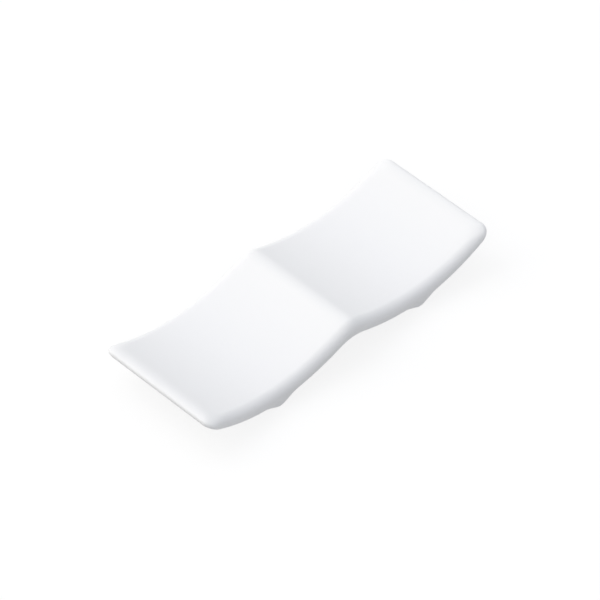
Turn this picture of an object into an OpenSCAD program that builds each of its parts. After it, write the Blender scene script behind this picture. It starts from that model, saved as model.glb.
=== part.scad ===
// Chopstick rest with two scoops: a wave-shaped porcelain plate on two foot bars, all under one
// coat of glaze. Millimetres, +Z up. X runs along the rest and Y across it. The origin is on the
// table, midway between the feet.

/* [Plate] */
// Length of the rest over its two ends
rest_length = 94; // [84:1:110]
// Width of the rest across the scoops
rest_width = 36.4; // [28:0.2:46]
// Thickness at the bottom of each scoop
scoop_thickness = 4.1; // [3.4:0.1:5.2]
// Thickness at the two ends, before their edges are rounded
end_thickness = 2.9; // [2.6:0.1:4]
// Thickness at the crest between the scoops, before its two sides are rounded
crest_thickness = 4.2; // [3.2:0.1:5]
// Rise of the ends above the bottoms of the scoops
end_rise = 7; // [5:0.25:9]
// Rise of the crest above the bottoms of the scoops, before it is rounded
crest_rise = 5.2; // [3.6:0.2:6.6]

/* [Rounding] */
// Radius of the crest between the scoops
crest_radius = 5.5; // [2:0.25:8]
// Radius of the arch under the crest
arch_radius = 12; // [5:0.5:14]
// Radius of the four corners, seen from above
corner_radius = 2.8; // [2.2:0.1:6]
// How far in from the outline the top starts to round over
edge_reach = 4; // [1.5:0.1:5]
// How far the top comes down as it rounds over
edge_drop = 2; // [1:0.1:2.2]
// How far the wall below the edge curves in towards the underside
wall_tuck = 0.8; // [0.5:0.05:1.4]

/* [Feet] */
// Height of the feet below the scoops
foot_height = 2; // [1.2:0.1:3.2]
// Length of a foot, along the rest, where it leaves the plate
foot_root = 9.4; // [6:0.2:11]
// Length of the bare strip that a foot stands on
foot_land = 1; // [0.6:0.1:2.5]
// How far the bare strip stands out of the glaze round it
land_proud = 0.15; // [0.05:0.05:0.3]
// Depth of a foot's seat in the plate
seat_depth = 1.2; // [0.6:0.1:1.6]

/* [Glaze] */
// Thickness of the glaze
glaze = 0.3; // [0.15:0.05:0.45]
// Reach of the glaze that pools along a foot's root, to each side of it
pool_reach = 1.2; // [0.4:0.1:1.6]
// Reach of the rounding beside a bare strip, where the glaze draws thin
tip_reach = 0.7; // [0.3:0.1:1]

/* [Hidden] */

// Colours of the fired porcelain and of the glaze
porcelain_colour = "#ece8df";
glaze_colour = "#f7f8fa";

// Numbers of steps along and round the form
crest_steps = 8;
slope_steps = 7;
pool_steps = 4;
tip_steps = 2;
corner_steps = 5;
edge_steps = 6;
wall_steps = 4;

// The two scoops are alike, so each one's bottom lies a quarter of the length from the middle.
scoop_x = rest_length / 4;
half_width = rest_width / 2;
corner_x = rest_length / 2 - corner_radius;
root_in = scoop_x - foot_root / 2;
root_out = scoop_x + foot_root / 2;
land_in = scoop_x - foot_land / 2;
land_out = scoop_x + foot_land / 2;
flank_length = (foot_root - foot_land) / 2;

// The rounded edge takes at most its share of the thin end, and the two bends of a flank theirs.
edge_share = 0.7;
pool_share = 0.6;
tip_share = 0.3;
edge_down = min(edge_drop, edge_share * end_thickness);
pool = min(pool_reach, pool_share * flank_length);
tip = min(tip_reach, tip_share * flank_length);

// How far from the middle a crest of this rise and radius runs into the slopes beside it
function crest_reach(rise, radius) =
    let (slope = 2 * rise / scoop_x)
    radius * slope / (1 + radius * slope / scoop_x);

// Height of a wave at x: a parabola through each scoop and a rounded crest in the middle
function wave(x, low, end_up, crest_up, radius) =
    let (a = abs(x), reach = crest_reach(crest_up, radius))
    a >= scoop_x ? low + end_up * pow(a / scoop_x - 1, 2) :
    a >= reach ? low + crest_up * pow(1 - a / scoop_x, 2) :
    low + crest_up * pow(1 - reach / scoop_x, 2) + (reach * reach - a * a) / (2 * radius);

// Rises of the top, which has its own because the plate thins towards its ends
top_end_rise = end_rise + end_thickness - scoop_thickness;
top_crest_rise = crest_rise + crest_thickness - scoop_thickness;

// Heights of the glazed top and of the glazed underside without its feet
function top(x) =
    wave(x, foot_height + scoop_thickness, top_end_rise, top_crest_rise, crest_radius);
function underside(x) = wave(x, foot_height, end_rise, crest_rise, arch_radius);

// The root of a foot that is nearest to x, and the slope of the flank that comes down from it
function root_near(x) = abs(x) < scoop_x ? root_in : root_out;
function flank_slope(root) = (underside(root) - land_proud) / flank_length;

// Height of the underside with its feet: straight flanks from the bare strip to the roots
function sole(x) =
    let (root = root_near(x), out = abs(abs(x) - scoop_x) - foot_land / 2)
    out >= flank_length ? underside(x) : land_proud + max(out, 0) * flank_slope(root);

// Change of slope where the underside bends into a foot's flank
function root_bend(root) =
    let (rise = root < scoop_x ? crest_rise : end_rise)
    flank_slope(root) - 2 * rise * abs(root / scoop_x - 1) / scoop_x;

// Height of the glaze under the rest: it pools in the bends at the roots, and draws thin at the tips
function glazed_sole(x) =
    let (root = root_near(x), out = abs(abs(x) - scoop_x) - foot_land / 2)
    let (pooled = max(pool - abs(abs(x) - root), 0), drawn = max(tip - abs(out), 0))
    sole(x) - root_bend(root) * pooled * pooled / (4 * pool)
        + flank_slope(root) * drawn * drawn / (4 * tip);

// Level of the seats, from the higher of a foot's two roots
seat_level = max(underside(root_in), underside(root_out)) + glaze + seat_depth;

// Values from a to b in even steps, both ends included
function run(a, b, steps) = [for (i = [0:steps]) i == steps ? b : a + (b - a) * i / steps];
// A list without its first item, and in reverse order
function rest_of(list) = [for (i = [1:len(list) - 1]) list[i]];
function reverse(list) = [for (i = [len(list) - 1:-1:0]) list[i]];

// Places along the right half of the rest, from the middle out
crest_end = max(crest_reach(top_crest_rise, crest_radius), crest_reach(crest_rise, arch_radius));
half_x = concat(run(0, crest_end, crest_steps),
                rest_of(run(crest_end, root_in - pool, slope_steps)),
                rest_of(run(root_in - pool, root_in + pool, pool_steps)),
                run(land_in - tip, land_in, tip_steps),
                run(land_out, land_out + tip, tip_steps),
                run(root_out - pool, root_out + pool, pool_steps),
                rest_of(run(root_out + pool, corner_x, slope_steps)));

// Beyond the foot, places move in with the loops' inset, and at the corner by all of it.
function slide(x) = max(x - root_out - pool, 0) / (corner_x - root_out - pool);

// Stations along the whole rest are [x, slide, end, angle]: the end and the angle turn a corner.
right_stations = concat([for (x = half_x) [x, slide(x), 0, 0]],
                        [for (i = [1:corner_steps]) [corner_x, 1, 1, 90 * i / corner_steps]]);
left_stations = [for (s = reverse(rest_of(right_stations))) [-s[0], -s[1], -s[2], s[3]]];
all_stations = concat(left_stations, right_stations);
foot_stations = [for (s = right_stations) if (s[0] >= root_in && s[0] <= root_out) s];
loop_count = edge_steps + wall_steps + 1;

// The loops round a surface so deep under the glaze, over its rounded edge and down its wall, as
// [inset from its outline, drop below the top, share of the way down to the underside]. The edge and
// the wall are quarter ellipses.
function rims(depth) =
    concat([for (i = [0:edge_steps])
                let (angle = 90 - 90 * i / edge_steps)
                [(edge_reach - depth) * (1 - cos(angle)),
                 edge_down - (edge_down - depth) * sin(angle), 0]],
           [for (i = [1:wall_steps])
                let (angle = 90 * i / wall_steps)
                [(wall_tuck - depth) * (1 - cos(angle)), edge_down, sin(angle)]]);

// A point of that surface on a loop, at a station of the front or the rear side
function spot(station, depth, rim, side, lower) =
    let (radius = corner_radius - depth)
    let (x = station[0] - station[1] * rim[0] + station[2] * radius * sin(station[3]))
    let (y = half_width - corner_radius - rim[0] + radius * cos(station[3]))
    [x, side * y, (1 - rim[2]) * (top(x) - rim[1]) + rim[2] * (lower(x) + depth)];

// All points of the surface along some stations, with an underside of the given height at x. Each
// loop goes along the front to the right, and back along the rear.
function skin(stations, depth, lower) =
    [for (rim = rims(depth), side = [-1, 1], station = side < 0 ? stations : reverse(stations))
        spot(station, depth, rim, side, lower)];

// The four corners of a strip across the rest, after station i of a loop of so many points
function strip(i, first, size) =
    [first + i, first + i + 1, first + size - 2 - i, first + size - 1 - i];
function strip_faces(strips, first, size) =
    [for (i = strips) let (s = strip(i, first, size)) each [[s[0], s[1], s[2]], [s[0], s[2], s[3]]]];
function flipped(faces) = [for (face = faces) reverse(face)];

// Faces of a surface with so many stations: between its loops, over its top, and over those strips
// of its underside that are asked for
function skin_faces(count, under) =
    let (size = 2 * count)
    concat([for (j = [0:loop_count - 2], i = [0:size - 1])
                let (a = j * size + i, b = j * size + (i + 1) % size)
                each [[a, b, b + size], [a, b + size, a + size]]],
           flipped(strip_faces([0:count - 2], 0, size)),
           strip_faces(under, (loop_count - 1) * size, size));

// Stations after which a strip of the underside lies over a foot's bare land, and all the others
station_count = len(all_stations);
function is_bare(i) =
    abs(abs(all_stations[i][0] + all_stations[i + 1][0]) / 2 - scoop_x) < foot_land / 2;
bare = [for (i = [0:station_count - 2]) if (is_bare(i)) i];
covered = [for (i = [0:station_count - 2]) if (!is_bare(i)) i];

// Walls round the openings over the bare lands, from the outside of the coat to its inside
loop_size = 2 * station_count;
inner_points = loop_count * loop_size;
opening_faces =
    [for (i = bare, k = [0:3])
        let (s = strip(i, inner_points - loop_size, loop_size), p = s[k], q = s[(k + 1) % 4])
        each [[p, q, q + inner_points], [p, q + inner_points, p + inner_points]]];

// The porcelain under the glaze along some stations, without the bare lands
module core(stations) {
    polyhedron(
        points = skin(stations, glaze, function (x) sole(x)),
        faces = skin_faces(len(stations), [0:len(stations) - 2]));
}

// The space of the right foot's bar, up to its seat in the plate
module foot_space() {
    translate([root_in, -half_width, 0])
        cube([foot_root, rest_width, seat_level]);
}

// The right foot: a bar let into its seat, with a bare land that passes through the glaze
module foot() {
    intersection() {
        core(foot_stations);
        foot_space();
    }
    translate([land_in, wall_tuck - half_width, 0])
        cube([foot_land, rest_width - 2 * wall_tuck, land_proud + glaze]);
}

module porcelain_body() {
    color(porcelain_colour)
        difference() {
            core(all_stations);
            foot_space();
            mirror([1, 0, 0]) foot_space();
        }
}

module left_foot() {
    color(porcelain_colour) mirror([1, 0, 0]) foot();
}

module right_foot() {
    color(porcelain_colour) foot();
}

module glaze_coat() {
    outside = skin_faces(station_count, covered);
    inside = [for (face = flipped(outside)) [for (i = face) i + inner_points]];
    color(glaze_colour)
        polyhedron(
            points = concat(skin(all_stations, 0, function (x) glazed_sole(x)),
                            skin(all_stations, glaze, function (x) sole(x))),
            faces = concat(outside, inside, opening_faces));
}

porcelain_body();
left_foot();
right_foot();
glaze_coat();
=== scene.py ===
"""A porcelain chopstick rest with two scoops, glazed and set on a white table.

Metres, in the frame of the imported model: X along the rest, Y across it to the rear, Z up from the
table.
"""
import math

import bpy
import numpy as np
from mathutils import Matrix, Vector


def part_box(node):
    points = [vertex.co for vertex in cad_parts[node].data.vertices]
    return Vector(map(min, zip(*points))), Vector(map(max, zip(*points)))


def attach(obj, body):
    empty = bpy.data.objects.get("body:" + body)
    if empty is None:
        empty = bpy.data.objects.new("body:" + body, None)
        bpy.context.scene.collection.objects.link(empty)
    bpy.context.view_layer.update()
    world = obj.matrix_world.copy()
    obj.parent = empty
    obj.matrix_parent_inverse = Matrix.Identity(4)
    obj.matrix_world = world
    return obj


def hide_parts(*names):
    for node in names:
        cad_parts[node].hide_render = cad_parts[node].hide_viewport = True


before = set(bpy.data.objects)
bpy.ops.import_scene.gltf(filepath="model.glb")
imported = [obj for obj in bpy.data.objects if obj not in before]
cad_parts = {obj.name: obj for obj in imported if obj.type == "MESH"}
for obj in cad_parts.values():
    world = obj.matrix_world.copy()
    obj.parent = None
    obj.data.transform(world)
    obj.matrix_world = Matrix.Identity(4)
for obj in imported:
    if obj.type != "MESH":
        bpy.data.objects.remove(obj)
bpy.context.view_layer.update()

bl_info = {
    "name": "Chopstick rest",
    "version": (1, 0, 0),
    "blender": (4, 5, 0),
    "location": "3D View > Sidebar > Chopstick rest",
    "description": "Glazes a two-scoop porcelain chopstick rest and sets it on a white table",
    "category": "Object",
}

MM = 0.001
QUARTER_TURN = math.pi / 2
SMOOTH_UP_TO = math.radians(40)

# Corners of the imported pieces, which give the sizes that they share with the pieces made here
COAT_LOW, COAT_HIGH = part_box("glaze_coat")
BODY_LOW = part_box("porcelain_body")[0]
FOOT_LOW, FOOT_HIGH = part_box("right_foot")

# Sockets of a Mix node for colours, which shares their names with its other kinds
MIX_SHARE, MIX_FROM, MIX_TO, MIXED = 0, 6, 7, 2


def linear(hex_colour):
    """The linear red, green and blue of a colour written as #rrggbb, by the sRGB curve."""
    channels = np.array([int(hex_colour[i:i + 2], 16) for i in (1, 3, 5)]) / 255
    curve = ((channels + 0.055) / 1.055) ** 2.4
    return tuple(np.where(channels <= 0.04045, channels / 12.92, curve))


def smooth_step(way):
    """A way from 0 to 1 that starts and ends level: three times its square less twice its cube."""
    return way ** 2 * (3 - 2 * way)


def length(name, metres, description):
    """A property that holds a length."""
    return bpy.props.FloatProperty(
        name=name, description=description, default=metres, min=0, precision=5,
        subtype="DISTANCE", unit="LENGTH")


def colour(name, hex_colour, description):
    """A property that holds a colour."""
    return bpy.props.FloatVectorProperty(
        name=name, description=description, default=linear(hex_colour), min=0, max=1,
        size=3, subtype="COLOR")


def share(name, value, description):
    """A property that holds a share of one."""
    return bpy.props.FloatProperty(
        name=name, description=description, default=value, min=0, max=1, subtype="FACTOR")


class RestForm(bpy.types.PropertyGroup):
    """The sizes of the glazed rest, and the heights that they give its top and its underside."""

    rest_length: length("Length", COAT_HIGH.x - COAT_LOW.x, "Length over the two ends")
    rest_width: length("Width", COAT_HIGH.y - COAT_LOW.y, "Width across the scoops")
    glaze: length("Glaze", BODY_LOW.x - COAT_LOW.x, "Thickness of the glaze")
    scoop_thickness: length(
        "Scoop thickness", 4.1 * MM, "Thickness at the bottom of each scoop")
    end_thickness: length("End thickness", 2.9 * MM, "Thickness at the two ends")
    crest_thickness: length(
        "Crest thickness", 4.2 * MM, "Thickness at the crest before it is rounded")
    end_rise: length("End rise", 7 * MM, "Rise of the ends above the bottoms of the scoops")
    crest_rise: length(
        "Crest rise", 5.2 * MM, "Rise of the crest above the bottoms of the scoops")
    crest_radius: length("Crest radius", 5.5 * MM, "Radius of the crest between the scoops")
    arch_radius: length("Arch radius", 12 * MM, "Radius of the arch under the crest")
    corner_radius: length("Corner radius", 2.8 * MM, "Radius of the corners, seen from above")
    edge_reach: length(
        "Edge reach", 4 * MM, "How far in from the ends the top starts to round over")
    edge_drop: length("Edge drop", 2 * MM, "How far the top comes down as it rounds over")
    side_reach: length(
        "Side reach", 2.6 * MM, "The same reach along the long sides, where the glaze is fuller")
    side_share: share(
        "Side share", 0.15, "How much of the plate's thickening the drop along them gains")
    wall_tuck: length("Wall tuck", 0.8 * MM, "How far the wall curves in towards the underside")
    foot_height: length("Foot height", 2 * MM, "Height of the feet below the scoops")
    foot_root: length(
        "Foot root", FOOT_HIGH.x - FOOT_LOW.x, "Length of a foot where it leaves the plate")
    foot_land: length("Foot land", 1 * MM, "Length of the bare strip that a foot stands on")
    land_proud: length(
        "Land above the glaze", 0.15 * MM, "How far the bare strip stands out of the glaze")
    land_edge: length("Land edge", 0.12 * MM, "Width of the rubbed edge round the bare strip")
    pool_reach: length(
        "Pooled glaze", 1.2 * MM, "Reach of the glaze that pools along a foot's root")
    tip_reach: length("Foot tip", 0.7 * MM, "Reach of the rounding beside the bare strip")

    @property
    def scoop_x(self):
        """Distance of the bottom of a scoop from the middle of the rest."""
        return self.rest_length / 4

    @property
    def half_width(self):
        """Distance of the front and the rear from the middle of the rest."""
        return self.rest_width / 2

    @property
    def flank_length(self):
        """Length of a foot's flank along the rest, from its root to its bare strip."""
        return (self.foot_root - self.foot_land) / 2

    def beside_scoop(self, span):
        """Places at the inner and the outer end of a span about the bottom of the right scoop."""
        return self.scoop_x - span / 2, self.scoop_x + span / 2

    def crest_reach(self, rise, radius):
        """Distance from the middle at which a crest of this rise and radius runs into the scoops.

        There the slope of the crest, the distance over the radius, is that of the scoop.
        """
        slope = 2 * rise / self.scoop_x
        return radius * slope / (1 + radius * slope / self.scoop_x)

    def wave(self, x, low, end_up, crest_up, radius):
        """Height of a wave: it grows with the square of the distance from the bottom of a scoop.

        In the middle, up to the reach of the crest, a parabola of the crest's radius takes over.
        """
        away = np.abs(x)
        reach = self.crest_reach(crest_up, radius)
        up = np.where(away > self.scoop_x, end_up, crest_up)
        scoop = low + up * (away / self.scoop_x - 1) ** 2
        crest_foot = low + crest_up * (1 - reach / self.scoop_x) ** 2
        crest = crest_foot + (reach ** 2 - away ** 2) / (2 * radius)
        return np.where(away < reach, crest, scoop)

    def top(self, x):
        """Height of the glazed top: a wave whose bottoms lie the scoop's thickness higher."""
        low = self.foot_height + self.scoop_thickness
        end_up = self.end_rise + self.end_thickness - self.scoop_thickness
        crest_up = self.crest_rise + self.crest_thickness - self.scoop_thickness
        return self.wave(x, low, end_up, crest_up, self.crest_radius)

    def underside(self, x):
        """Height of the glazed underside without its feet: a wave that they hold off the table."""
        return self.wave(x, self.foot_height, self.end_rise, self.crest_rise, self.arch_radius)

    def side_drop(self, x):
        """How far the glazed top comes down as it rounds over along the long sides.

        That is the edge's drop and a share of what the plate is thicker than at its ends.
        """
        thickening = self.top(x) - self.underside(x) - self.end_thickness
        return self.edge_drop + self.side_share * thickening

    def sole(self, x):
        """Height of the underside with its feet: straight flanks from bare strips to roots."""
        from_centre = np.abs(x) - self.scoop_x
        root = self.scoop_x + np.sign(from_centre) * self.foot_root / 2
        up = np.clip((np.abs(from_centre) - self.foot_land / 2) / self.flank_length, 0, 1)
        flank = self.land_proud + up * (self.underside(root) - self.land_proud)
        return np.where(up < 1, flank, self.underside(x))

    def rounded_sole(self, x):
        """The sole with its bends eased: filled with glaze at the roots, worn round at the tips.

        Within its reach of a bend, the height leaves the straight lines by the change of slope
        times the square of what is left of the reach, over four reaches. That is a parabola that
        touches both.
        """
        from_centre = np.abs(x) - self.scoop_x
        side = np.sign(from_centre)
        root = self.scoop_x + side * self.foot_root / 2
        rise = np.where(side < 0, self.crest_rise, self.end_rise)
        plate_slope = rise * self.foot_root / self.scoop_x ** 2
        flank_slope = (self.underside(root) - self.land_proud) / self.flank_length
        from_root = np.abs(np.abs(x) - root)
        from_tip = np.abs(np.abs(from_centre) - self.foot_land / 2)
        root_left = np.clip(self.pool_reach - from_root, 0, None)
        tip_left = np.clip(self.tip_reach - from_tip, 0, None)
        filled = (flank_slope - plate_slope) * root_left ** 2 / (4 * self.pool_reach)
        worn = flank_slope * tip_left ** 2 / (4 * self.tip_reach)
        return self.sole(x) - filled + worn

    def glaze_depth(self, x):
        """How thick the glaze has run: a smooth step from 0 on crest and ends to 1 in scoops."""
        return smooth_step(np.clip(1 - np.abs(np.abs(x) / self.scoop_x - 1), 0, 1))


class RestFinish(bpy.types.PropertyGroup):
    """The colours and the gloss of the rest and of the table under it."""

    glaze_thin: colour("Thin glaze", "#f4f4f4", "Glaze where it has run off the edges")
    glaze_deep: colour("Deep glaze", "#f3f3f4", "Glaze where it has gathered")
    glaze_roughness: share("Glaze roughness", 0.34, "Roughness of the fired glaze")
    bare_porcelain: colour("Bare porcelain", "#ece8df", "Fired porcelain without glaze")
    rubbed_porcelain: colour(
        "Rubbed porcelain", "#d8d3c8", "Bare porcelain that a table has marked")
    table: colour("Table", "#b4b4b4", "Pale table top, as its light falls back on the rest")


def line_through(stops, steps):
    """Values from stop to stop, with so many even steps in each stretch."""
    stretches = [np.linspace(a, b, n, endpoint=False) for a, b, n in zip(stops, stops[1:], steps)]
    return np.concatenate([*stretches, stops[-1:]])


def grid_faces(index, ring=False):
    """Quads between neighbours of an index grid, closed along its second direction if a ring."""
    if ring:
        index = np.concatenate([index, index[:, :1]], axis=1)
    corners = [index[:-1, :-1], index[1:, :-1], index[1:, 1:], index[:-1, 1:]]
    return np.stack(corners, axis=-1).reshape(-1, 4)


def border(index):
    """The points round the border of an index grid: up its first column, and on round it."""
    return np.concatenate([index[:, 0], index[-1, 1:-1], index[::-1, -1], index[0, -2:0:-1]])


def add_piece(name, points, faces, replaced, material):
    """A mesh object at the origin, smooth but for sharp bends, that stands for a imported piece."""
    mesh = bpy.data.meshes.new(name)
    mesh.from_pydata(points.tolist(), [], faces)
    mesh.shade_smooth()
    mesh.set_sharp_from_angle(angle=SMOOTH_UP_TO)
    mesh.materials.append(material)
    piece = bpy.data.objects.new(name, mesh)
    bpy.context.scene.collection.objects.link(piece)
    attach(piece, "root")
    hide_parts(replaced)
    return piece


class GlazeGrid:
    """The grid that both skins of the glaze share: stations along the rest, places across it."""

    # Even steps out from the middle: crest, scoop, inner root, flank and tip, the bare strip, then
    # the outer tip, flank and root, and the scoop up to the corner
    STATION_STEPS = (20, 30, 10, 4, 6, 1, 6, 4, 10, 30)
    CORNER_STEPS = 12
    EDGE_STEPS = 20
    WALL_STEPS = 16
    ACROSS = 25

    def __init__(self, form):
        """Stations lie evenly between the bends of the profile, and turn evenly at the corners."""
        self.form = form
        crest_end = form.crest_reach(form.crest_rise, form.arch_radius)
        root_in, root_out = form.beside_scoop(form.foot_root)
        land_in, land_out = form.beside_scoop(form.foot_land)
        corner_x = form.rest_length / 2 - form.corner_radius
        half = line_through(
            [0, crest_end, root_in - form.pool_reach, root_in + form.pool_reach,
             land_in - form.tip_reach, land_in, land_out, land_out + form.tip_reach,
             root_out - form.pool_reach, root_out + form.pool_reach, corner_x],
            self.STATION_STEPS)
        turn = np.linspace(0, QUARTER_TURN, self.CORNER_STEPS + 1)[1:]
        along = np.concatenate([half, np.full(turn.size, corner_x)])
        angle = np.concatenate([np.zeros(half.size), turn])
        self.base_x = np.concatenate([-along[:0:-1], along])
        self.end_turn = np.concatenate([-np.sin(angle[:0:-1]), np.sin(angle)])
        self.side_turn = np.concatenate([np.cos(angle[:0:-1]), np.cos(angle)])
        slide_from = root_out + form.pool_reach
        beyond = np.clip((np.abs(self.base_x) - slide_from) / (corner_x - slide_from), 0, 1)
        self.slide = np.sign(self.base_x) * beyond
        self.across = np.linspace(-1, 1, self.ACROSS)
        self.land = (land_in, land_out)

    def plan(self, side_inset, end_inset, depth):
        """Station places and half widths of a skin's outline at its insets from sides and ends.

        The corners keep their radius and move in with the insets. Beyond the feet, stations move
        in by a share that grows evenly with the distance, and up to the feet they stay.
        """
        form = self.form
        radius = form.corner_radius - depth
        x = self.base_x - self.slide * end_inset + self.end_turn * radius
        y = form.half_width - form.corner_radius - side_inset + self.side_turn * radius
        return x, y

    def edge_profile(self, depth, reach):
        """Insets, shares of the edge's height and shares of the wall's, of the rings to the sole.

        The upper edge is a quarter ellipse, and so is the wall below it, which ends under the
        sole. A skin under the surface has both curves smaller, about the same centres.
        """
        edge = np.linspace(QUARTER_TURN, 0, self.EDGE_STEPS + 1)
        wall = np.linspace(0, QUARTER_TURN, self.WALL_STEPS + 1)[1:]
        inset = np.concatenate([(reach - depth) * (1 - np.cos(edge)),
                                (self.form.wall_tuck - depth) * (1 - np.cos(wall))])
        up = np.concatenate([np.sin(edge), np.zeros(wall.size)])
        down = np.concatenate([np.zeros(edge.size), np.sin(wall)])
        return inset[:, None], up[:, None], down[:, None]

    def skin(self, depth, side_reach, drop, lower):
        """Points of a skin so deep under the surface, whose underside has the given heights.

        Its top rounds over within a reach of the sides, and comes down by a drop on the way. The
        rings of the edge profile go round the outline, first along the front. Inside the first
        ring lies the grid of the top, and inside the last one that of the sole, both straight
        across.
        """
        form = self.form
        side_inset, up, down = self.edge_profile(depth, side_reach)
        end_inset = self.edge_profile(depth, form.edge_reach)[0]
        x, y = self.plan(side_inset, end_inset, depth)
        end_y = (form.half_width - form.corner_radius - side_inset) * self.across[1:-1]
        ends = np.ones_like(end_y)
        ring_x = np.concatenate([x, ends * x[:, -1:], x[:, ::-1], ends * x[:, :1]], axis=1)
        ring_y = np.concatenate([-y, end_y, y[:, ::-1], -end_y], axis=1)
        fall = drop(ring_x)
        ring_z = ((1 - down) * (form.top(ring_x) - fall + up * (fall - depth))
                  + down * (lower(ring_x) + depth))
        rings = np.stack([ring_x, ring_y, ring_z], axis=-1)

        def cap(row, height):
            """The points inside a ring, at the heights of their places along the rest."""
            cap_x = np.repeat(x[row, 1:-1, None], self.ACROSS - 2, axis=1)
            cap_y = y[row, 1:-1, None] * self.across[1:-1]
            return np.stack([cap_x, cap_y, height(cap_x)], axis=-1)

        top = cap(0, lambda cap_x: form.top(cap_x) - depth)
        sole = cap(-1, lambda cap_x: lower(cap_x) + depth)
        return np.concatenate([part.reshape(-1, 3) for part in (rings, top, sole)])

    def indices(self):
        """Index grids of the rings, the top and the sole, in the order of a skin's points."""
        stations = self.base_x.size
        loop = 2 * stations + 2 * (self.ACROSS - 2)
        ring_count = self.EDGE_STEPS + self.WALL_STEPS + 1
        rings = np.arange(ring_count * loop).reshape(ring_count, loop)
        inner = (stations - 2, self.ACROSS - 2)

        def cap(ring, first):
            """The grid that a ring borders, with its inner points numbered on from first."""
            grid = np.empty((stations, self.ACROSS), int)
            front, right, rear, left = np.split(
                ring, np.cumsum([stations, inner[1], stations]))
            grid[:, 0], grid[:, -1] = front, rear[::-1]
            grid[-1, 1:-1], grid[0, 1:-1] = right, left[::-1]
            grid[1:-1, 1:-1] = first + np.arange(inner[0] * inner[1]).reshape(inner)
            return grid

        top = cap(rings[0], rings.size)
        sole = cap(rings[-1], rings.size + inner[0] * inner[1])
        return rings, top, sole


def glaze_shell(form):
    """Points, quads and glaze depths of the coat: two skins, open over the bare strips.

    The walls of each opening join the border of the hole in the outer skin to that in the inner
    one. The glaze's depth fades down the edge by a cosine, to nothing halfway, and grows again to
    the sole.
    """
    grid = GlazeGrid(form)
    outer = grid.skin(0, form.side_reach, form.side_drop, form.rounded_sole)
    inner = grid.skin(form.glaze, form.edge_reach, lambda x: form.edge_drop, form.sole)
    rings, top, sole = grid.indices()
    middle = np.abs(grid.base_x[1:] + grid.base_x[:-1]) / 2
    bare = (middle > grid.land[0]) & (middle < grid.land[1])
    sole_quads = grid_faces(sole).reshape(bare.size, -1, 4)
    outside = np.concatenate([grid_faces(rings, ring=True), grid_faces(top),
                              sole_quads[~bare].reshape(-1, 4)[:, ::-1]])
    inner_from = len(outer)
    walls = []
    for side in (grid.base_x[:-1] < 0, grid.base_x[:-1] > 0):
        rows = np.flatnonzero(bare & side)
        hole = border(sole[rows[0]:rows[-1] + 2])
        walls.append(grid_faces(np.stack([hole, hole + inner_from]), ring=True))
    faces = np.concatenate([outside, outside[:, ::-1] + inner_from, *walls])
    points = np.concatenate([outer, inner])
    run = np.ones(inner_from)
    down = np.linspace(0, 4 * QUARTER_TURN, rings.shape[0])[:, None]
    run[rings] = np.repeat((1 + np.cos(down)) / 2, rings.shape[1], axis=1)
    depth = np.tile(form.glaze_depth(outer[:, 0]) * run, 2)
    return points, faces.tolist(), depth


def foot_bar(form):
    """Points and faces of the right foot: sections from front to rear, carried along the rest.

    A section comes down from the seat along the inside of the wall's glaze, crosses under the foot
    and goes up to the seat again. The bare strip comes down from it to the table inside a rubbed
    edge, along which the height changes by a smooth step of the distance.
    """
    flank_steps, edge_steps, land_steps = 12, 8, 6
    flat_steps, wall_steps = 30, 10
    land_in, land_out = form.beside_scoop(form.foot_land)
    land_end = form.half_width - form.wall_tuck
    x = line_through(
        [FOOT_LOW.x, land_in, land_in + form.land_edge, land_out - form.land_edge, land_out,
         FOOT_HIGH.x],
        [flank_steps, edge_steps, land_steps, edge_steps, flank_steps])[:, None]
    wall_top, wall_foot = form.top(x) - form.edge_drop, form.sole(x) + form.glaze
    seat_angle = np.arcsin((wall_top - FOOT_HIGH.z) / (wall_top - wall_foot))
    up_wall = np.linspace(0, 1, wall_steps + 1)[1:]
    turn = QUARTER_TURN - (QUARTER_TURN - seat_angle) * up_wall
    out = land_end + (form.wall_tuck - form.glaze) * np.cos(turn)
    flat = line_through([0, land_end - form.land_edge, land_end], [flat_steps, edge_steps])
    y = np.concatenate([np.repeat(flat[None, :], x.size, axis=0), out], axis=1)
    down = np.concatenate([np.ones((x.size, flat.size)), np.sin(turn)], axis=1)
    under = (1 - down) * wall_top + down * wall_foot
    inside = np.minimum(form.foot_land / 2 - np.abs(x - form.scoop_x), land_end - y)
    low = under * (1 - smooth_step(np.clip(inside / form.land_edge, 0, 1)))
    half = np.stack([np.broadcast_to(x, y.shape), y, low], axis=-1)
    rings = np.concatenate([half[:, :0:-1], half * (1, -1, 1)], axis=1)
    index = np.arange(rings.size // 3).reshape(rings.shape[:2])
    ends = [index[0].tolist(), index[-1, ::-1].tolist()]
    return rings.reshape(-1, 3), grid_faces(index, ring=True).tolist() + ends


def add(tree, kind, inputs=None, **settings):
    """Adds a node with its settings, and gives each input a value or the link of a socket."""
    made = tree.nodes.new(kind)
    for name, value in settings.items():
        setattr(made, name, value)
    for name, value in (inputs or {}).items():
        if isinstance(value, bpy.types.NodeSocket):
            tree.links.new(value, made.inputs[name])
        else:
            made.inputs[name].default_value = value
    return made


def new_material(name):
    """A material with an empty node tree, and that tree."""
    material = bpy.data.materials.new(name)
    material.use_nodes = True
    material.node_tree.nodes.clear()
    return material, material.node_tree


def opaque(rgb):
    """A colour with its alpha."""
    return (*rgb, 1)


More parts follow.
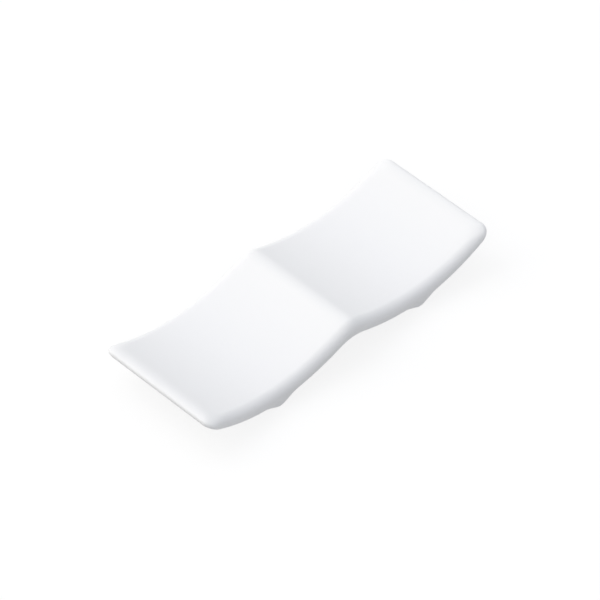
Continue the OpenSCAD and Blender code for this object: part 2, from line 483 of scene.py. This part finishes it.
def fired_white_glaze(finish):
    """Clear white glaze on porcelain, dipped and fired to a soft gloss.

    It gives the eye a broad soft sheen over a clean cool white, a little deeper where the glaze has
    run together, with the faint unevenness of a melted surface.
    """
    peel, peel_height = 1.6 * MM, 0.006 * MM
    cloud, cloud_share = 14 * MM, 0.3
    gloss_range = 0.03
    material, tree = new_material("fired_white_glaze")
    place = add(tree, "ShaderNodeTexCoord").outputs["Object"]
    depth = add(tree, "ShaderNodeAttribute", attribute_name="glaze_depth").outputs["Fac"]
    clouds = add(tree, "ShaderNodeTexNoise", {
        "Vector": place, "Scale": 1 / cloud, "Detail": 2}).outputs["Fac"]
    run = add(tree, "ShaderNodeMath", {0: depth, 1: 1 - cloud_share}, operation="MULTIPLY")
    gathered = add(tree, "ShaderNodeMath", {
        0: clouds, 1: cloud_share, 2: run.outputs[0]}, operation="MULTIPLY_ADD")
    tint = add(tree, "ShaderNodeMix", {
        MIX_SHARE: gathered.outputs[0], MIX_FROM: opaque(finish.glaze_thin),
        MIX_TO: opaque(finish.glaze_deep)}, data_type="RGBA")
    gloss = add(tree, "ShaderNodeMapRange", {
        "Value": clouds, "To Min": finish.glaze_roughness - gloss_range,
        "To Max": finish.glaze_roughness + gloss_range})
    ripple = add(tree, "ShaderNodeTexNoise", {"Vector": place, "Scale": 1 / peel, "Detail": 1})
    uneven = add(tree, "ShaderNodeBump", {
        "Height": ripple.outputs["Fac"], "Distance": peel_height, "Strength": 1})
    surface = add(tree, "ShaderNodeBsdfPrincipled", {
        "Base Color": tint.outputs[MIXED], "Roughness": gloss.outputs[0], "IOR": 1.5,
        "Specular IOR Level": 0.35, "Normal": uneven.outputs[0]})
    add(tree, "ShaderNodeOutputMaterial", {"Surface": surface.outputs[0]})
    return material


def bisque_porcelain(finish):
    """Bare porcelain, fired hard and ground flat where it stands.

    It gives the eye a dry warm white with a fine grit, and grey rub marks from tables.
    """
    # The real grit is finer than a tenth of a millimetre, and is drawn coarse enough to show
    grit, grit_height = 0.25 * MM, 0.02 * MM
    rub = 2.5 * MM
    rub_from, rub_full = 0.45, 0.75
    grain_low, grain_high = 0.3, 0.7
    smoothest, roughest = 0.7, 0.9
    material, tree = new_material("bisque_porcelain")
    place = add(tree, "ShaderNodeTexCoord").outputs["Object"]
    grains = add(tree, "ShaderNodeTexNoise", {
        "Vector": place, "Scale": 1 / grit, "Detail": 3}).outputs["Fac"]
    rubs = add(tree, "ShaderNodeTexNoise", {"Vector": place, "Scale": 1 / rub, "Detail": 4})
    marked = add(tree, "ShaderNodeMapRange", {
        "Value": rubs.outputs["Fac"], "From Min": rub_from, "From Max": rub_full})
    tint = add(tree, "ShaderNodeMix", {
        MIX_SHARE: marked.outputs[0], MIX_FROM: opaque(finish.bare_porcelain),
        MIX_TO: opaque(finish.rubbed_porcelain)}, data_type="RGBA")
    dry = add(tree, "ShaderNodeMapRange", {
        "Value": grains, "From Min": grain_low, "From Max": grain_high,
        "To Min": smoothest, "To Max": roughest})
    gritty = add(tree, "ShaderNodeBump", {
        "Height": grains, "Distance": grit_height, "Strength": 1})
    surface = add(tree, "ShaderNodeBsdfPrincipled", {
        "Base Color": tint.outputs[MIXED], "Roughness": dry.outputs[0], "IOR": 1.5,
        "Normal": gritty.outputs[0]})
    add(tree, "ShaderNodeOutputMaterial", {"Surface": surface.outputs[0]})
    return material


def seen_rays(tree):
    """A socket that is 1 for what is seen straight, mirrored or through glass, and 0 for light."""
    ray = add(tree, "ShaderNodeLightPath").outputs
    mirrored = add(tree, "ShaderNodeMath", {
        0: ray["Is Camera Ray"], 1: ray["Is Glossy Ray"]}, operation="MAXIMUM")
    return add(tree, "ShaderNodeMath", {
        0: mirrored.outputs[0], 1: ray["Is Transmission Ray"]}, operation="MAXIMUM").outputs[0]


def painted_table_top(finish):
    """White paint on a table top, rolled on and dried matt.

    It gives the eye a plain pale ground with a soft shadow under the rest. Light that falls back on
    the rest comes from its plain colour. Where it is seen it also glows a little, so that it is
    white where no shadow lies. From below it lets the view through.
    """
    seen_share, seen_glow = 0.385, 0.838
    material, tree = new_material("painted_table_top")
    seen = seen_rays(tree)
    tint = add(tree, "ShaderNodeMix", {
        MIX_SHARE: seen, MIX_FROM: opaque(finish.table),
        MIX_TO: opaque(seen_share * np.array(finish.table))}, data_type="RGBA")
    matt = add(tree, "ShaderNodeBsdfDiffuse", {"Color": tint.outputs[MIXED]})
    white = add(tree, "ShaderNodeMath", {0: seen, 1: seen_glow}, operation="MULTIPLY")
    glow = add(tree, "ShaderNodeEmission", {"Strength": white.outputs[0]})
    lit = add(tree, "ShaderNodeAddShader", {0: matt.outputs[0], 1: glow.outputs[0]})
    below = add(tree, "ShaderNodeNewGeometry").outputs["Backfacing"]
    clear = add(tree, "ShaderNodeBsdfTransparent")
    surface = add(tree, "ShaderNodeMixShader", {
        0: below, 1: lit.outputs[0], 2: clear.outputs[0]})
    add(tree, "ShaderNodeOutputMaterial", {"Surface": surface.outputs[0]})
    return material


def white_room(sky_colour, sky_strength):
    """A world that lights evenly from all sides, and is white where it is seen."""
    world = bpy.data.worlds.new("white_room")
    world.use_nodes = True
    tree = world.node_tree
    tree.nodes.clear()
    seen = seen_rays(tree)
    strength = add(tree, "ShaderNodeMapRange", {"Value": seen, "To Min": sky_strength})
    tint = add(tree, "ShaderNodeMix", {
        MIX_SHARE: seen, MIX_FROM: opaque(sky_colour), MIX_TO: opaque(linear("#ffffff"))},
        data_type="RGBA")
    sky = add(tree, "ShaderNodeBackground", {
        "Color": tint.outputs[MIXED], "Strength": strength.outputs[0]})
    add(tree, "ShaderNodeOutputWorld", {"Surface": sky.outputs[0]})
    return world


class CHOPSTICK_REST_OT_body(bpy.types.Operator):
    """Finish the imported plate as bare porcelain, for what shows where the glaze ends"""

    bl_idname = "chopstick_rest.body"
    bl_label = "Porcelain body"

    def execute(self, context):
        bisque = bisque_porcelain(context.scene.rest_finish)
        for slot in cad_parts["porcelain_body"].material_slots:
            slot.material = bisque
        return {"FINISHED"}


class CHOPSTICK_REST_OT_feet(bpy.types.Operator):
    """Make the two foot bars, with their bare standing strips"""

    bl_idname = "chopstick_rest.feet"
    bl_label = "Foot bars"

    def execute(self, context):
        bisque = bpy.data.materials["bisque_porcelain"]
        points, faces = foot_bar(context.scene.rest_form)
        add_piece("foot_bar_right", points, faces, "right_foot", bisque)
        mirrored = points * (-1, 1, 1)
        turned = [face[::-1] for face in faces]
        add_piece("foot_bar_left", mirrored, turned, "left_foot", bisque)
        return {"FINISHED"}


class CHOPSTICK_REST_OT_glaze(bpy.types.Operator):
    """Make the coat of glaze over the plate and the feet"""

    bl_idname = "chopstick_rest.glaze"
    bl_label = "Glaze coat"

    def execute(self, context):
        points, faces, depth = glaze_shell(context.scene.rest_form)
        glaze = fired_white_glaze(context.scene.rest_finish)
        coat = add_piece("glaze_shell", points, faces, "glaze_coat", glaze)
        attribute = coat.data.attributes.new("glaze_depth", "FLOAT", "POINT")
        attribute.data.foreach_set("value", depth)
        return {"FINISHED"}


class CHOPSTICK_REST_OT_stage(bpy.types.Operator):
    """Set the rest on a white table under soft light, with a camera in front of it on the left"""

    bl_idname = "chopstick_rest.stage"
    bl_label = "Table, light and camera"

    TABLE_SIDE = 8
    COOL, EVEN, WARM = "#f4f8ff", "#fbfbfd", "#fffaf2"
    SKY = 0.373
    # The width of each light in degrees, then its colour, its strength and where it comes from
    LIGHT_ANGLE = 60
    LIGHTS = {
        "window": (WARM, 0.53, (-0.41, 0.71, 0.57)),
        "fill": (EVEN, 0.23, (-0.41, -0.71, 0.57)),
        "ceiling": (COOL, 0.268, (0.25, 0.43, 0.87)),
    }
    # The camera's angles in degrees, its lens in millimetres, and how far to the right of the
    # origin and above it the view is aimed
    AZIMUTH, ELEVATION = -44.56, 45.56
    DISTANCE = 1111 * MM
    LENS = 277.76
    AIM_RIGHT, AIM_UP = 0.015 * MM, 4.353 * MM

    def execute(self, context):
        scene = context.scene
        scene.view_settings.view_transform = "Standard"
        scene.world = white_room(linear(self.COOL), self.SKY)
        self.add_table(scene)
        for name, (hex_colour, strength, direction) in self.LIGHTS.items():
            self.add_light(scene, name, hex_colour, strength, direction)
        self.add_camera(scene)
        return {"FINISHED"}

    def add_table(self, scene):
        """A square table top at the level of the bare strips."""
        mesh = bpy.data.meshes.new("table")
        corners = np.array([(-1, -1, 0), (1, -1, 0), (1, 1, 0), (-1, 1, 0)]) * self.TABLE_SIDE / 2
        mesh.from_pydata(corners.tolist(), [], [(0, 1, 2, 3)])
        mesh.materials.append(painted_table_top(scene.rest_finish))
        table = bpy.data.objects.new("table", mesh)
        scene.collection.objects.link(table)

    def add_light(self, scene, name, hex_colour, strength, direction):
        """A wide soft light, which shows a white face turned to it at that strength."""
        light = bpy.data.lights.new(name, "SUN")
        light.color = linear(hex_colour)
        light.energy = strength * math.pi
        light.angle = math.radians(self.LIGHT_ANGLE)
        lamp = bpy.data.objects.new(name, light)
        lamp.visible_glossy = False
        lamp.rotation_euler = Vector(direction).to_track_quat("Z", "Y").to_euler()
        scene.collection.objects.link(lamp)

    def add_camera(self, scene):
        """A camera at the photograph's angle, aimed just above the middle of the rest."""
        azimuth, elevation = math.radians(self.AZIMUTH), math.radians(self.ELEVATION)
        back = Vector((math.sin(azimuth) * math.cos(elevation),
                       -math.cos(azimuth) * math.cos(elevation), math.sin(elevation)))
        right = Vector((math.cos(azimuth), math.sin(azimuth), 0))
        aim = right * self.AIM_RIGHT + back.cross(right) * self.AIM_UP
        lens = bpy.data.cameras.new("camera")
        lens.lens = self.LENS
        camera = bpy.data.objects.new("camera", lens)
        camera.location = back * self.DISTANCE
        camera.rotation_euler = (aim - camera.location).to_track_quat("-Z", "Y").to_euler()
        scene.collection.objects.link(camera)
        scene.camera = camera


class VIEW3D_PT_chopstick_rest(bpy.types.Panel):
    """The rest's pieces, sizes and finishes"""

    bl_idname = "VIEW3D_PT_chopstick_rest"
    bl_label = "Chopstick rest"
    bl_space_type = "VIEW_3D"
    bl_region_type = "UI"
    bl_category = "Chopstick rest"

    def draw(self, context):
        for operator in OPERATORS:
            self.layout.operator(operator.bl_idname)
        for group in (context.scene.rest_form, context.scene.rest_finish):
            box = self.layout.box()
            for name in group.__annotations__:
                box.prop(group, name)


# In the order in which the pieces are made
OPERATORS = (CHOPSTICK_REST_OT_body, CHOPSTICK_REST_OT_feet, CHOPSTICK_REST_OT_glaze,
             CHOPSTICK_REST_OT_stage)
CLASSES = (RestForm, RestFinish, *OPERATORS, VIEW3D_PT_chopstick_rest)


def register():
    """Makes the classes and the two groups of settings known to Blender."""
    for cls in CLASSES:
        bpy.utils.register_class(cls)
    bpy.types.Scene.rest_form = bpy.props.PointerProperty(type=RestForm)
    bpy.types.Scene.rest_finish = bpy.props.PointerProperty(type=RestFinish)


def unregister():
    """Takes away what register added, in the opposite order."""
    del bpy.types.Scene.rest_finish
    del bpy.types.Scene.rest_form
    for cls in reversed(CLASSES):
        bpy.utils.unregister_class(cls)


def main():
    """Registers the add-on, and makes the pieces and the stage."""
    register()
    bpy.ops.chopstick_rest.body()
    bpy.ops.chopstick_rest.feet()
    bpy.ops.chopstick_rest.glaze()
    bpy.ops.chopstick_rest.stage()


if __name__ == "__main__":
    main()
